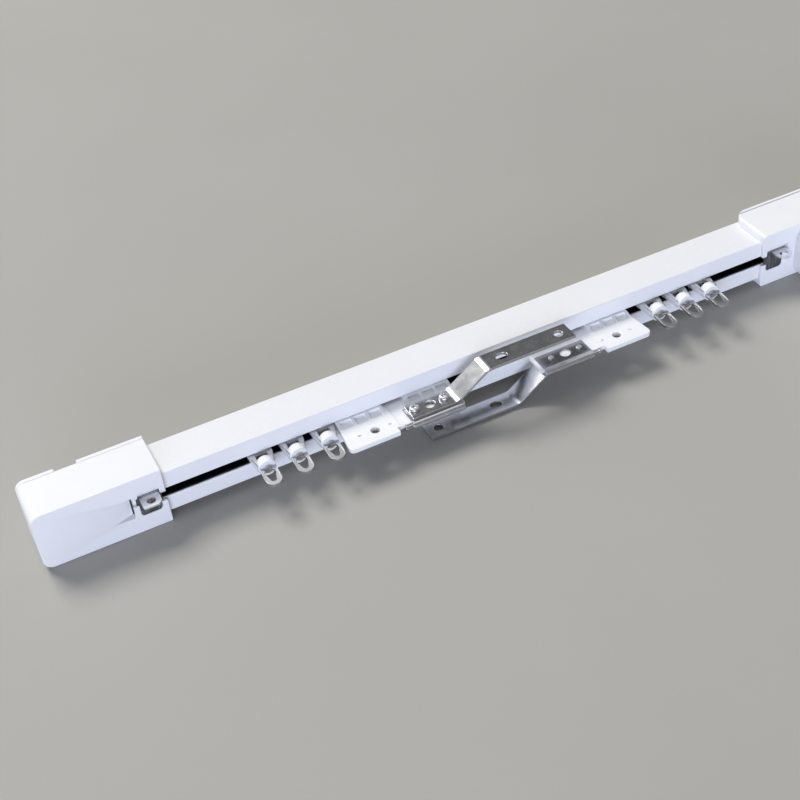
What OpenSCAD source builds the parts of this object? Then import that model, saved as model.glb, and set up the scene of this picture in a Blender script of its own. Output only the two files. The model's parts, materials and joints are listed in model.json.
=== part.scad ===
// Electric curtain track lying on its side: +X runs along the track to the motor end, the slot faces -Y
// and the ceiling side faces +Y. The origin is in the middle of the outer box, on the surface it lies on.

/* [Track rail] */
// Length of rail that shows between the two housings
gap_l = 460; // [400:10:900]
// How far the rail goes into each housing
rail_insert = 22; // [20:1:24]
// Thickness of the rail's walls
rail_wall = 1.5; // [1.2:0.1:1.8]
// Width of the slot that the carriers run in
slot_w = 7; // [6.4:0.1:7.6]
// Rounding of the rail's long outer edges
rail_edge_r = 0.8; // [0.4:0.1:1.2]
// Opening of the groove for ceiling clips
groove_w = 10; // [8:0.5:11]
// How far the groove is undercut on each side
groove_undercut = 3.5; // [2:0.5:4]
// Height of the undercut
groove_d = 2; // [1.5:0.25:2.5]
// Gap between the shelves that carry the belt
shelf_gap = 15; // [13:0.5:16]

/* [Wheels] */
// Radius of a wheel
wheel_r = 5; // [4.5:0.1:5.5]
// Width of a wheel's tread
wheel_w = 4.8; // [4:0.1:5.2]
// Radius of a wheel axle
wheel_axle_r = 1.25; // [1:0.05:1.5]

/* [Belt drive] */
// Pitch of the belt's teeth
belt_pitch = 5; // [4.8:0.1:5.2]
// Number of teeth on a pulley
pulley_teeth = 14; // [13:1:15]
// Width of the belt
belt_w = 7; // [6:0.5:8]
// Thickness of the belt without its teeth
belt_back = 1.3; // [1:0.1:1.6]
// Height of a belt tooth
belt_tooth_h = 1.8; // [1.4:0.1:2]
// Distance from a housing's outer end to the pulley's axis
pulley_inset = 33; // [30:1:36]
// Thickness of a pulley flange
flange_t = 1.2; // [1:0.1:1.5]
// Radius of the idler axle
idler_axle_r = 3; // [2.5:0.1:3.5]
// Radius of the drive pulley's journals
journal_r = 6; // [5.5:0.1:6.5]
// Wall of the drive pulley's bearings
bearing_wall = 3; // [2.5:0.1:3.5]

/* [Housings] */
// Length of a housing along the track
box_l = 84; // [78:1:92]
// How far a housing stands out beside the rail, above and below it
box_side = 6; // [5:0.5:8]
// How far a housing stands out in front of the rail's slot face
box_front = 3; // [2.8:0.1:4]
// How far a housing stands out behind the rail's ceiling face
box_back = 3.5; // [3:0.25:4.5]
// Rounding of the idler housing's outer corners
idler_corner_r = 6.5; // [4:0.5:8]
// Rounding of the drive housing's corners on the ceiling side
drive_corner_r = 11; // [8:0.5:13]
// Rounding of the drive housing's edges that run from its front to its back
drive_edge_r = 2.5; // [1:0.25:4]
// Thickness of a housing's cover
cover_t = 3.2; // [2.8:0.1:3.4]
// Length of the window in a housing's front
window_l = 14.2; // [13.5:0.1:15]
// Height of the window
window_h = 18.4; // [17:0.2:20]
// Rounding of the window's corners
window_r = 2.5; // [1.5:0.25:3.5]
// Width of the front wall between the window and the housing's inner end
window_edge = 4; // [3:0.25:5]
// Length of the ramp recess in the idler housing
ramp_l = 14.4; // [12:0.2:16]
// Height of the ramp recess
ramp_h = 16.4; // [14:0.2:18]
// Depth of the ramp recess at its deep end
ramp_d = 5; // [3:0.25:6]
// Length of the notch in the idler cover's edge
notch_l = 14.6; // [10:0.2:18]

/* [End hooks] */
// Thickness of the hook's steel
hook_t = 1.5; // [1.2:0.1:1.8]
// Width of the hook's ear
ear_w = 12.6; // [11:0.2:13]
// How far the ear stands out of the housing's front
ear_reach = 10; // [9:0.5:12]
// Radius of the hole in the ear
ear_hole_r = 3; // [2.5:0.1:3.2]
// Height of the ear's upper face over the middle of the slot
ear_z = 5.5; // [4.5:0.25:6.5]
// How far the ear on the drive side is moved outwards from the window's middle
drive_ear_shift = 4; // [2:0.25:4.5]

/* [Master carriers] */
// Middle of the left carrier
left_carrier_x = -70.5; // [-90:0.5:-68]
// Middle of the right carrier
right_carrier_x = 72; // [68:0.5:90]
// Length of each of a carrier's two ribbed blocks
block_l = 33.7; // [31:0.1:36]
// Gap between the two blocks
block_gap = 16; // [14:0.5:18]
// How far the blocks stand out of the rail
block_reach = 8; // [6:0.25:8.5]
// Thickness of the ribs that stiffen a block
rib_t = 2.5; // [1.6:0.1:2.8]
// Number of bays between a block's ribs
bays = 3; // [2:1:4]
// Thickness of the plate in the sleeve
plate_t = 2.5; // [2.2:0.1:2.8]
// Thickness of the plate's outer part, with the curtain hole
wing_t = 3.4; // [2.9:0.1:4]
// How far the plate stands out of the rail
plate_reach = 29; // [28:0.25:32]
// How far the plate flares out past the block at its outer end
plate_flare = 2; // [1:0.25:4]
// Radius of the plate's outer corner
plate_corner_r = 3.5; // [2:0.25:5]
// Radius of the curtain hole in the plate
plate_hole_r = 3.1; // [2.6:0.1:3.4]

/* [Arms] */
// Width of the arm's strip
arm_w = 15.8; // [14:0.1:16.5]
// Thickness of the arm's strip
arm_t = 2; // [1.5:0.1:2.2]
// Length of the flat that is screwed to the carrier, up to the bend
arm_foot = 33.1; // [32:0.1:35]
// Height that the bend rises
arm_rise = 16.7; // [14:0.1:16.8]
// Length of the bend's slope along the track
arm_slope = 23.6; // [20:0.1:28]
// Length of the outer flat
arm_flat = 67; // [60:0.5:75]
// Inner radius of the bends
bend_r = 7; // [4:0.25:7]
// Distance from the upper bend to the obround hole
arm_slot_x = 14; // [12:0.5:18]
// Distance from the arm's tip to the round hole
arm_hole_x = 9; // [7:0.5:12]
// Radius of the round hole, and half the width of the obround one
arm_hole_r = 3.1; // [2.6:0.1:3.5]
// Straight length of the obround hole
arm_slot_l = 2.2; // [2:0.2:5]
// Radius of the large hole between the screws
foot_hole_r = 3.8; // [3:0.1:4]
// Distance between the two screws
screw_pitch = 22; // [20:0.25:24]
// Radius of a screw's head
screw_head_r = 3.6; // [3.2:0.1:3.8]
// Height of a screw's head
screw_head_h = 2.6; // [2.2:0.1:3]
// Radius of a screw's shank
screw_r = 1.9; // [1.6:0.1:2.1]
// Thickness of the sleeve's steel
sleeve_t = 1; // [0.8:0.1:1.1]
// Length of the sleeve along the track
sleeve_l = 37.8; // [37:0.1:39]
// Depth of the sleeve, from the front of its fold to its back edge
sleeve_d = 18; // [17:0.25:19]
// Radius of the rod that lies in the fold
rod_r = 1.4; // [1.35:0.05:1.6]

/* [Gliders] */
// Length of a glider in the slot
glider_w = 15.8; // [14:0.2:17]
// Free length of slot between two gliders
glider_space = 6.2; // [5:0.2:9]
// Free length of slot between the left gliders and their carrier
left_glider_gap = 0.4; // [0.3:0.1:4]
// Free length of slot between the right gliders and their carrier
right_glider_gap = 12.9; // [8:0.1:14]
// Angle by which the gliders lean on their axles
glider_lean = 3; // [0:0.5:7]
// Thickness of a glider's two webs along the slot
web_t = 3.7; // [3:0.1:4.2]
// Radius of the domed socket
dome_r = 6; // [5.4:0.1:6.4]
// Distance from the rail to the back of the dome
dome_out = 5; // [4:0.25:6]
// Length of the dome
dome_l = 8.5; // [7.5:0.25:9.5]
// Rounding of the dome's shoulder
dome_shoulder_r = 3.8; // [2.5:0.1:4.2]
// Radius of the eye's swivel pin
swivel_r = 1.5; // [1.2:0.05:1.7]
// Width of the eye
eye_w = 11.2; // [10.4:0.1:12]
// Length of the eye's loop
eye_l = 17.2; // [15.6:0.2:18.6]
// Thickness of the eye's steel
eye_t = 1.5; // [1.2:0.1:1.8]
// Half the width of the loop's opening near the socket
eye_open_r = 3.7; // [3.3:0.1:4]
// Half the width of the loop's opening at its tip
eye_tip_r = 2; // [1.6:0.1:2.4]

/* [Motor] */
// Width of the motor's casing along the track
motor_w = 46; // [44:0.5:50]
// Length of the motor's half shells
motor_l = 190; // [170:5:240]
// Thickness of the shells
motor_wall = 2; // [1.6:0.1:2.5]
// Rounding of the casing's long edges
motor_corner_r = 12; // [8:0.5:14]
// Height of the seam between the shells over the motor's middle
seam_z = 6; // [3:0.5:8]
// Length of the collar that joins the motor to the drive housing
collar_l = 3; // [2.5:0.25:5]
// Length of the end cap
cap_l = 12; // [10:0.5:16]
// Length of the gearbox
gearbox_l = 40; // [30:1:48]
// Length of the motor can
can_l = 63; // [50:1:66]
// Radius of the motor can
can_r = 16.5; // [14:0.5:18]
// Radius of the output shaft
shaft_r = 5; // [4.5:0.1:5.4]
// Radius of the power inlet
inlet_r = 6; // [5:0.25:7]
// Radius of the setting button
button_r = 3; // [2.5:0.1:3.5]

/* [Hidden] */
$fn = 64;
// Running clearance of a pin in its bore, gap between moving pieces, gaps of fixed fits, overshoot of a cut
pin_gap = 0.05;
run_gap = 0.3;
fit_gap = 0.2;
seat_gap = 0.02;
over = 1;

// Belt and clamp across the rail
belt_r = pulley_teeth * belt_pitch / (2 * PI);
jaw_t = 1.35;
jaw_gap = 0.35;
rail_inner = belt_r + belt_back + 2 * jaw_gap + jaw_t;
rail_w = 2 * (rail_inner + rail_wall);

// Rail from its slot face to its ceiling face, which is y = 0
slot_gap = 0.35;
wheel_head_gap = 1.7;
belt_lift = 2.5;
belt_head_gap = 1.5;
chamber_h = 2 * wheel_r + run_gap + wheel_head_gap;
belt_room = belt_lift + belt_w + belt_head_gap;
rail_d = 4 * rail_wall + chamber_h + belt_room + groove_d;
lip_y = -rail_d + rail_wall;
shelf_y = lip_y + chamber_h;
belt_y0 = shelf_y + rail_wall + belt_lift;
belt_y1 = belt_y0 + belt_w;
wheel_y = lip_y + run_gap + wheel_r;
ridge_w = 1.2;
ridge_h = 0.8;
neck_h = slot_w / 2 - slot_gap;
wheel_z0 = slot_w / 2 + ridge_w + run_gap;
wheel_z1 = wheel_z0 + wheel_w;
groove_step = groove_w / 2 + groove_undercut + rail_wall;

// Housings and pulleys
box_h = rail_w + 2 * box_side;
front_y = -rail_d - box_front;
back_y = box_back;
cover_y = back_y - cover_t;
box_x0 = gap_l / 2;
box_x1 = box_x0 + box_l;
rail_x = box_x0 + rail_insert;
pulley_x = box_x1 - pulley_inset;
flange_gap = 0.4;
flange_over = 0.8;
flange_r = belt_r + belt_back + flange_over;
pulley_y0 = belt_y0 - flange_gap - flange_t;
pulley_y1 = belt_y1 + flange_gap + flange_t;
chamber_gap = 1.5;
chamber_r = flange_r + chamber_gap;
floor_gap = 0.5;
floor_y = pulley_y0 - floor_gap;
bearing_l = 4;
bearing_r = journal_r + bearing_wall;
bearing_seat = 1;
window_x0 = box_x0 + window_edge;
window_x1 = window_x0 + window_l;
window_x = (window_x0 + window_x1) / 2;
flange_lap = 2;
hook_low = -window_h / 2 - flange_lap;
ear_hole_out = 4.5;
ear_chamfer = 2.5;
ear_corner = 1;
ramp_bridge = 4;
cover_screw_r = 1.1;
cover_screw_l = 10;
cover_head_r = 2;
cover_head_h = 1.5;
screw_from_inner_end = 7;
screw_from_outer_end = 5;
screw_from_rail = 1;
cover_screws = [
  [box_x0 + drive_corner_r + screw_from_inner_end, rail_w / 2 + box_side / 2],
  [box_x1 - drive_corner_r - screw_from_outer_end, rail_w / 2 - screw_from_rail]
];
axle_seat = 6;
axle_cap = 1.2;

// Carriers, with x measured from the carrier's middle towards its arm
block_x0 = block_gap / 2;
block_x1 = block_x0 + block_l;
block_y0 = -rail_d - block_reach;
block_head_gap = 2;
block_top = shelf_y - block_head_gap;
post_lap = 4;
post_root = 3;
post_x = block_x0 + post_lap;
neck_out = 1.5;
neck_y = -rail_d - neck_out;
bay_l = (block_l - (bays + 1) * rib_t) / bays;
plate_y = -rail_d - plate_reach;
fold_r = rod_r + pin_gap + sleeve_t;
fold_y = plate_y + fold_r;
sleeve_inset = 1.7;
sleeve_x1 = block_x1 - sleeve_inset;
sleeve_x0 = sleeve_x1 - sleeve_l;
sleeve_top = plate_t / 2 + sleeve_t;
rod_head_over = 0.4;
rod_head_r = rod_r + rod_head_over;
rod_head_l = 1.5;
rod_out = 4.2;
rod_x0 = sleeve_x0 - rod_out;
rod_notch = 4.5;
wing_x = -5.5;
fold_rise_y = fold_y + sqrt(fold_r * fold_r - sleeve_top * sleeve_top);
arm_y = fold_rise_y + fit_gap + arm_w / 2;
arm_inset = 1.2;
arm_x0 = sleeve_x0 + arm_inset;
screw_inset = 4.7;
screw_x = arm_x0 + screw_inset;
plate_hole_in = 3.3;
plate_hole_out = 19;
plate_hole_x = -block_x0 - block_l / 2 + plate_hole_in;
plate_hole_y = -rail_d - plate_hole_out;
dimple_x = 11;
dimple_r = 1.2;
dimple_d = 0.9;
screw_tip = 1;
arm_angle = atan2(arm_rise, arm_slope);
bend_run = (bend_r + arm_t / 2) * tan(arm_angle / 2);
arm_bend_x = arm_x0 + arm_foot;
arm_end_x = arm_bend_x + arm_slope + arm_flat;
clamp_l = 20;

// Gliders
glider_half = glider_w / 2 * cos(glider_lean) + (block_top - wheel_y) * sin(glider_lean);
glider_off = max(glider_half + left_glider_gap, plate_flare + eye_w / 2 + run_gap);
glider_pitch = glider_w + glider_space;
glider_x = [
  for (i = [2:-1:0]) left_carrier_x - block_x1 - glider_off - i * glider_pitch,
  for (i = [0:2]) right_carrier_x + block_x1 + right_glider_gap + glider_w / 2 + i * glider_pitch
];
dome_y1 = -rail_d - dome_out;
dome_y0 = dome_y1 - dome_l;
web_h = 4.4;
glider_floor = 2;
web_shoulder = 1;
web_foot_lap = 1.5;
dome_lap = 0.4;
arch_sink = 2;
eye_y1 = dome_y0 - run_gap;
eye_collar = 1.4;
eye_collar_over = 0.4;
eye_root = 0.2;
eye_y0 = eye_y1 - eye_l;
eye_rim = 0.9;
eye_rim_rise = 0.4;
eye_rim_t = eye_t + 2 * eye_rim_rise;
swivel_head_over = 0.9;
swivel_head_r = swivel_r + swivel_head_over;
swivel_head_l = 2.2;
neck_l = 4;

// Motor, with its middle line under the drive pulley's axis
motor_h = box_h;
collar_in = 1;
motor_y1 = front_y - collar_l;
motor_y0 = motor_y1 - motor_l;
cap_y0 = motor_y0 - cap_l;
spigot_wall = 3;
spigot_r = shaft_r + spigot_wall;
spigot_l = 8;
shaft_seat = 10;
hex_r = 4;
gearbox_r = motor_h / 2 - motor_wall - run_gap;
can_boss_l = 3;
board_w = 30;
board_t = 1.6;
board_z = -12;
board_gap = 8;
board_can_gap = 6;
board_l = motor_l - gearbox_l - can_l - can_boss_l - board_can_gap - board_gap;
post_r = 2.5;
cap_spigot = 6;
cap_screw_r = 1.5;
cap_screw_l = 9;
cap_screw_head_r = 2.6;
cap_screw_head_h = 1.6;
cap_boss_r = 3.4;
cap_boss_sink = 0.6;
cap_boss_x = motor_w / 2 - motor_wall - cap_boss_r + cap_boss_sink;
inlet_x = -8;
button_x = 9;
button_rise = 1;
button_skirt = 1.1;
button_wall = 3;

mid_y = (back_y + cap_y0 - button_rise) / 2;

// Shapes that repeat

// From the rail's own frame, with the ceiling face at y = 0 and the slot at z = 0, to the part's frame
module in_frame() {
  translate([0, -mid_y, box_h / 2]) children();
}

// A profile in (y, z), carried along x
module run_x(x0, x1) {
  translate([x0, 0, 0]) rotate([90, 0, 90]) linear_extrude(x1 - x0) children();
}

// A profile in (x, z), carried along y
module run_y(y0, y1) {
  translate([0, y1, 0]) rotate([90, 0, 0]) linear_extrude(y1 - y0) children();
}

// A profile in (x, y), carried along z
module run_z(z0, z1) {
  translate([0, 0, z0]) linear_extrude(z1 - z0) children();
}

// A profile in (radius, y), turned about the line through (x, z) along y
module turned_y(x, z) {
  translate([x, 0, z]) rotate([-90, 0, 0]) rotate_extrude() children();
}

module block(x0, x1, y0, y1, z0, z1) {
  translate([x0, y0, z0]) cube([x1 - x0, y1 - y0, z1 - z0]);
}

module bar_y(x, z, r, y0, y1) {
  translate([x, y0, z]) rotate([-90, 0, 0]) cylinder(r = r, h = y1 - y0);
}

module bar_z(x, y, r, z0, z1) {
  translate([x, y, z0]) cylinder(r = r, h = z1 - z0);
}

module rect(x0, x1, y0, y1) {
  translate([x0, y0]) square([x1 - x0, y1 - y0]);
}

module round_rect(x0, x1, y0, y1, r) {
  rect(x0 + r, x1 - r, y0, y1);
  rect(x0, x1, y0 + r, y1 - r);
  for (x = [x0 + r, x1 - r], y = [y0 + r, y1 - r]) translate([x, y]) circle(r);
}

// An outline that is the same on both sides of the first axis
module both_sides(half) {
  polygon(concat(half, [for (i = [len(half) - 1:-1:0]) [half[i][0], -half[i][1]]]));
}

// Track rail

module track_rail() {
  hollow = [
    [-rail_d - over, slot_w / 2], [lip_y + ridge_h, slot_w / 2], [lip_y + ridge_h, slot_w / 2 + ridge_w],
    [lip_y, slot_w / 2 + ridge_w], [lip_y, rail_inner], [shelf_y, rail_inner], [shelf_y, shelf_gap / 2],
    [shelf_y + rail_wall, shelf_gap / 2], [shelf_y + rail_wall, rail_inner], [-rail_wall, rail_inner],
    [-rail_wall, groove_step], [-2 * rail_wall - groove_d, groove_step]
  ];
  groove = [
    [over, groove_w / 2], [-rail_wall, groove_w / 2], [-rail_wall, groove_w / 2 + groove_undercut],
    [-rail_wall - groove_d, groove_w / 2 + groove_undercut]
  ];
  color("white") in_frame() run_x(-rail_x, rail_x) difference() {
    round_rect(-rail_d, 0, -rail_w / 2, rail_w / 2, rail_edge_r);
    both_sides(hollow);
    both_sides(groove);
  }
}

// Housings at the two ends. What both have is drawn on the drive side and mirrored for the idler side

// The rail's socket, the pulley's chamber, the slot, the window and the pocket of the hook's flange
module housing_cuts() {
  block(box_x0 - over, rail_x + fit_gap, -rail_d, cover_y + over,
    -rail_w / 2 - fit_gap, rail_w / 2 + fit_gap);
  run_y(floor_y, cover_y + over) {
    translate([pulley_x, 0]) circle(chamber_r);
    rect(rail_x - over, pulley_x, -chamber_r, chamber_r);
  }
  block(box_x0 - over, window_x, front_y - over, -rail_d + over, -slot_w / 2, slot_w / 2);
  run_y(front_y - over, -rail_d + over)
    round_rect(window_x0, window_x1, -window_h / 2, window_h / 2, window_r);
  block(window_x0 - flange_lap / 2 - fit_gap, window_x1 + flange_lap / 2 + fit_gap,
    -rail_d - hook_t - fit_gap, -rail_d + over, hook_low - fit_gap, window_h / 2);
}

module cover_screw_places() {
  for (place = cover_screws, side = [-1, 1]) translate([place[0], 0, side * place[1]]) children();
}

module housing_screw_holes() {
  cover_screw_places() bar_y(0, 0, cover_screw_r + pin_gap, back_y - cover_head_h - cover_screw_l, back_y);
}

module cover_screw_holes() {
  cover_screw_places() {
    bar_y(0, 0, cover_screw_r + fit_gap, cover_y - over, back_y + over);
    bar_y(0, 0, cover_head_r + fit_gap, back_y - cover_head_h, back_y + over);
  }
}

module cover_screw_set() {
  cover_screw_places() {
    bar_y(0, 0, cover_screw_r, back_y - cover_head_h - cover_screw_l + over, back_y - cover_head_h / 2);
    difference() {
      bar_y(0, 0, cover_head_r, back_y - cover_head_h, back_y - fit_gap);
      cross_slot_y(back_y - fit_gap);
    }
  }
}

// Cross recess of a screw whose head faces +y
module cross_slot_y(y) {
  slot_r = 1.2;
  slot_half = 0.3;
  slot_d = 0.7;
  block(-slot_r, slot_r, y - slot_d, y + over, -slot_half, slot_half);
  block(-slot_half, slot_half, y - slot_d, y + over, -slot_r, slot_r);
}

module idler_outline() {
  rect(-box_x1 + idler_corner_r, -box_x0, -box_h / 2, box_h / 2);
  rect(-box_x1, -box_x0, -box_h / 2 + idler_corner_r, box_h / 2 - idler_corner_r);
  for (side = [-1, 1])
    translate([-box_x1 + idler_corner_r, side * (box_h / 2 - idler_corner_r)]) circle(idler_corner_r);
}

module idler_housing() {
  ramp_x1 = -window_x1 - ramp_bridge;
  ramp_x0 = ramp_x1 - ramp_l;
  color("white") in_frame() difference() {
    run_y(front_y, cover_y) idler_outline();
    mirror([1, 0, 0]) housing_cuts();
    mirror([1, 0, 0]) housing_screw_holes();
    run_z(-ramp_h / 2, ramp_h / 2) polygon([
      [ramp_x0, front_y], [ramp_x1, front_y + ramp_d], [ramp_x1, front_y - over], [ramp_x0, front_y - over]
    ]);
    block(ramp_x1 - over, -window_x1 + over, front_y - over, front_y + box_front - fit_gap,
      0, ear_z + run_gap);
    bar_y(-pulley_x, 0, idler_axle_r + seat_gap, floor_y - axle_seat, floor_y + over);
  }
}

module idler_cover() {
  notch_x = -pulley_x;
  notch_d = 2.5;
  color("white") in_frame() difference() {
    run_y(cover_y, back_y) idler_outline();
    mirror([1, 0, 0]) cover_screw_holes();
    block(notch_x - notch_l / 2, notch_x + notch_l / 2, cover_y - over, back_y + over,
      box_h / 2 - notch_d, box_h / 2 + over);
    bar_y(-pulley_x, 0, idler_axle_r + seat_gap, cover_y - over, cover_y + axle_cap);
  }
}

module idler_cover_screws() {
  color("silver") in_frame() mirror([1, 0, 0]) cover_screw_set();
}

module idler_axle() {
  color("lightsteelblue") in_frame()
    bar_y(-pulley_x, 0, idler_axle_r, floor_y - axle_seat, cover_y + axle_cap);
}

module drive_outline() {
  rect(box_x0, box_x1, front_y, back_y - drive_corner_r);
  rect(box_x0 + drive_corner_r, box_x1 - drive_corner_r, front_y, back_y);
  for (x = [box_x0 + drive_corner_r, box_x1 - drive_corner_r])
    translate([x, back_y - drive_corner_r]) circle(drive_corner_r);
}

// The drive side's rounded box between two distances from the ceiling
module drive_box(y0, y1) {
  intersection() {
    run_z(-box_h / 2, box_h / 2) intersection() {
      drive_outline();
      rect(box_x0, box_x1, y0, y1);
    }
    run_y(y0, y1) round_rect(box_x0, box_x1, -box_h / 2, box_h / 2, drive_edge_r);
  }
}

module drive_housing() {
  color("white") in_frame() difference() {
    drive_box(front_y, cover_y);
    housing_cuts();
    housing_screw_holes();
    block(window_x, window_x + drive_ear_shift + ear_w / 2 + over, front_y - over, -rail_d,
      ear_z - hook_t - run_gap, window_h / 2);
    bar_y(pulley_x, 0, bearing_r + seat_gap, floor_y - bearing_l, floor_y + over);
    bar_y(pulley_x, 0, spigot_r + fit_gap, front_y - over, floor_y);
  }
}

module drive_cover() {
  color("white") in_frame() difference() {
    drive_box(cover_y, back_y);
    cover_screw_holes();
    bar_y(pulley_x, 0, bearing_r + seat_gap, cover_y - over, cover_y + bearing_seat);
  }
}

module drive_cover_screws() {
  color("silver") in_frame() cover_screw_set();
}

// Two plain bearings: one in the housing's floor and one in the cover
module drive_bearings() {
  color("goldenrod") in_frame()
    for (y = [floor_y - bearing_l, cover_y + bearing_seat - bearing_l]) difference() {
      bar_y(pulley_x, 0, bearing_r, y, y + bearing_l);
      bar_y(pulley_x, 0, journal_r + pin_gap, y - over, y + bearing_l + over);
    }
}

// End hooks: a flange on the rail's face, trapped behind the window, and an ear bent out through it

module end_hook(ear_x) {
  difference() {
    union() {
      block(window_x0 - flange_lap / 2, window_x1 + flange_lap / 2, -rail_d - hook_t, -rail_d,
        hook_low, ear_z);
      run_z(ear_z - hook_t, ear_z) children();
    }
    bar_z(ear_x, front_y - ear_hole_out, ear_hole_r, ear_z - hook_t - over, ear_z + over);
  }
}

module idler_end_hook() {
  ear_y = front_y - ear_reach;
  color("silver") in_frame() mirror([1, 0, 0]) end_hook(window_x) polygon([
    [window_x - ear_w / 2, -rail_d], [window_x - ear_w / 2, ear_y + ear_chamfer],
    [window_x - ear_w / 2 + ear_chamfer, ear_y], [window_x + ear_w / 2 - ear_corner, ear_y],
    [window_x + ear_w / 2, ear_y + ear_corner], [window_x + ear_w / 2, -rail_d]
  ]);
}

module drive_end_hook() {
  ear_x = window_x + drive_ear_shift;
  tip_y = front_y - ear_reach + ear_w / 2;
  color("silver") in_frame() end_hook(ear_x) {
    rect(ear_x - ear_w / 2, ear_x + ear_w / 2, tip_y, -rail_d);
    translate([ear_x, tip_y]) circle(ear_w / 2);
  }
}

// Belt drive: the belt is one loop, toothed on its straight runs

module loop_ends(r) {
  for (x = [-pulley_x, pulley_x]) translate([x, 0]) circle(r);
}

module toothed_belt() {
  count = floor(2 * (pulley_x - flange_r - belt_pitch) / belt_pitch);
  first_x = -(count - 1) / 2 * belt_pitch;
  root = 0.3 * belt_pitch;
  tip = 0.18 * belt_pitch;
  teeth = [
    for (i = [0:count - 1])
      for (p = [[-root, 0], [-tip, -belt_tooth_h], [tip, -belt_tooth_h], [root, 0]])
        [first_x + i * belt_pitch + p[0], belt_r + p[1]]
  ];
  inner_run = concat([[-pulley_x, belt_r]], teeth, [[pulley_x, belt_r]]);
  color("dimgray") in_frame() run_y(belt_y0, belt_y1) difference() {
    union() {
      rect(-pulley_x, pulley_x, -belt_r - belt_back, belt_r + belt_back);
      loop_ends(belt_r + belt_back);
    }
    both_sides(inner_run);
    loop_ends(belt_r);
  }
}

// Toothed pulley between two flanges, with its axis along y
module pulley(x) {
  root_r = belt_r - belt_tooth_h - 2 * run_gap;
  tip_r = belt_r - run_gap;
  root = 0.17 * belt_pitch;
  tip = 0.11 * belt_pitch;
  translate([x, 0, 0]) {
    run_y(belt_y0 - flange_gap, belt_y1 + flange_gap) {
      circle(root_r);
      for (i = [0:pulley_teeth - 1]) rotate(i * 360 / pulley_teeth)
        polygon([[root_r - over, -root], [tip_r, -tip], [tip_r, tip], [root_r - over, root]]);
    }
    for (y = [pulley_y0, pulley_y1 - flange_t]) bar_y(0, 0, flange_r, y, y + flange_t);
  }
}

module idler_pulley() {
  color("gainsboro") in_frame() difference() {
    pulley(-pulley_x);
    bar_y(-pulley_x, 0, idler_axle_r + pin_gap, pulley_y0 - over, pulley_y1 + over);
  }
}

module drive_pulley() {
  journal_y0 = floor_y - bearing_l;
  journal_y1 = cover_y - run_gap;
  color("gainsboro") in_frame() difference() {
    union() {
      pulley(pulley_x);
      bar_y(pulley_x, 0, journal_r, journal_y0, journal_y1);
    }
    translate([pulley_x, journal_y0 - over, 0]) rotate([-90, 0, 0])
      cylinder(r = hex_r + fit_gap, h = belt_y1 - journal_y0 + over, $fn = 6);
  }
}

// Motor

module motor_outline(inset) {
  round_rect(pulley_x - motor_w / 2 + inset, pulley_x + motor_w / 2 - inset, -motor_h / 2 + inset,
    motor_h / 2 - inset, motor_corner_r - inset);
}

module motor_output_shaft() {
  hex_y0 = floor_y - bearing_l;
  color("lightsteelblue") in_frame() {
    bar_y(pulley_x, 0, shaft_r, motor_y1 - shaft_seat, hex_y0 - run_gap);
    translate([pulley_x, hex_y0 - over, 0]) rotate([-90, 0, 0])
      cylinder(r = hex_r, h = belt_y1 - hex_y0, $fn = 6);
  }
}

module motor_collar() {
  color("white") in_frame() difference() {
    union() {
      run_y(motor_y1, front_y) motor_outline(collar_in);
      bar_y(pulley_x, 0, spigot_r, front_y - over, front_y + spigot_l);
    }
    bar_y(pulley_x, 0, shaft_r + pin_gap, motor_y1 - over, front_y + spigot_l + over);
  }
}

module motor_tube(z0, z1) {
  run_y(motor_y0, motor_y1) intersection() {
    difference() {
      motor_outline(0);
      motor_outline(motor_wall);
    }
    rect(pulley_x - motor_w, pulley_x + motor_w, z0, z1);
  }
}

module motor_upper_shell() {
  color("white") in_frame() motor_tube(seam_z, motor_h);
}

// The lower shell has two posts for the board and two bosses for the end cap's screws
module motor_lower_shell() {
  floor_z = -motor_h / 2 + motor_wall / 2;
  board_y0 = motor_y0 + board_gap;
  color("white") in_frame() {
    motor_tube(-motor_h, seam_z);
    for (y = [board_y0 + board_gap, board_y0 + board_l - board_gap])
      bar_z(pulley_x, y, post_r, floor_z, board_z - board_t / 2);
    for (side = [-1, 1]) difference() {
      bar_y(pulley_x + side * cap_boss_x, 0, cap_boss_r, motor_y0 + cap_spigot, motor_y0 + 2 * cap_spigot);
      bar_y(pulley_x + side * cap_boss_x, 0, cap_screw_r + pin_gap, motor_y0, motor_y0 + 3 * cap_spigot);
    }
  }
}

module motor_gearbox() {
  color("silver") in_frame() difference() {
    bar_y(pulley_x, 0, gearbox_r, motor_y1 - gearbox_l, motor_y1);
    bar_y(pulley_x, 0, shaft_r + pin_gap, motor_y1 - shaft_seat - run_gap, motor_y1 + over);
  }
}

module motor_can() {
  can_y1 = motor_y1 - gearbox_l;
  boss_r = 6;
  color("darkgray") in_frame() {
    bar_y(pulley_x, 0, can_r, can_y1 - can_l, can_y1);
    bar_y(pulley_x, 0, boss_r, can_y1 - can_l - can_boss_l, can_y1 - can_l + over);
  }
}

module control_board() {
  board_y0 = motor_y0 + board_gap;
  color("darkgreen") in_frame()
    block(pulley_x - board_w / 2, pulley_x + board_w / 2, board_y0, board_y0 + board_l,
      board_z - board_t / 2, board_z + board_t / 2);
}

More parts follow.
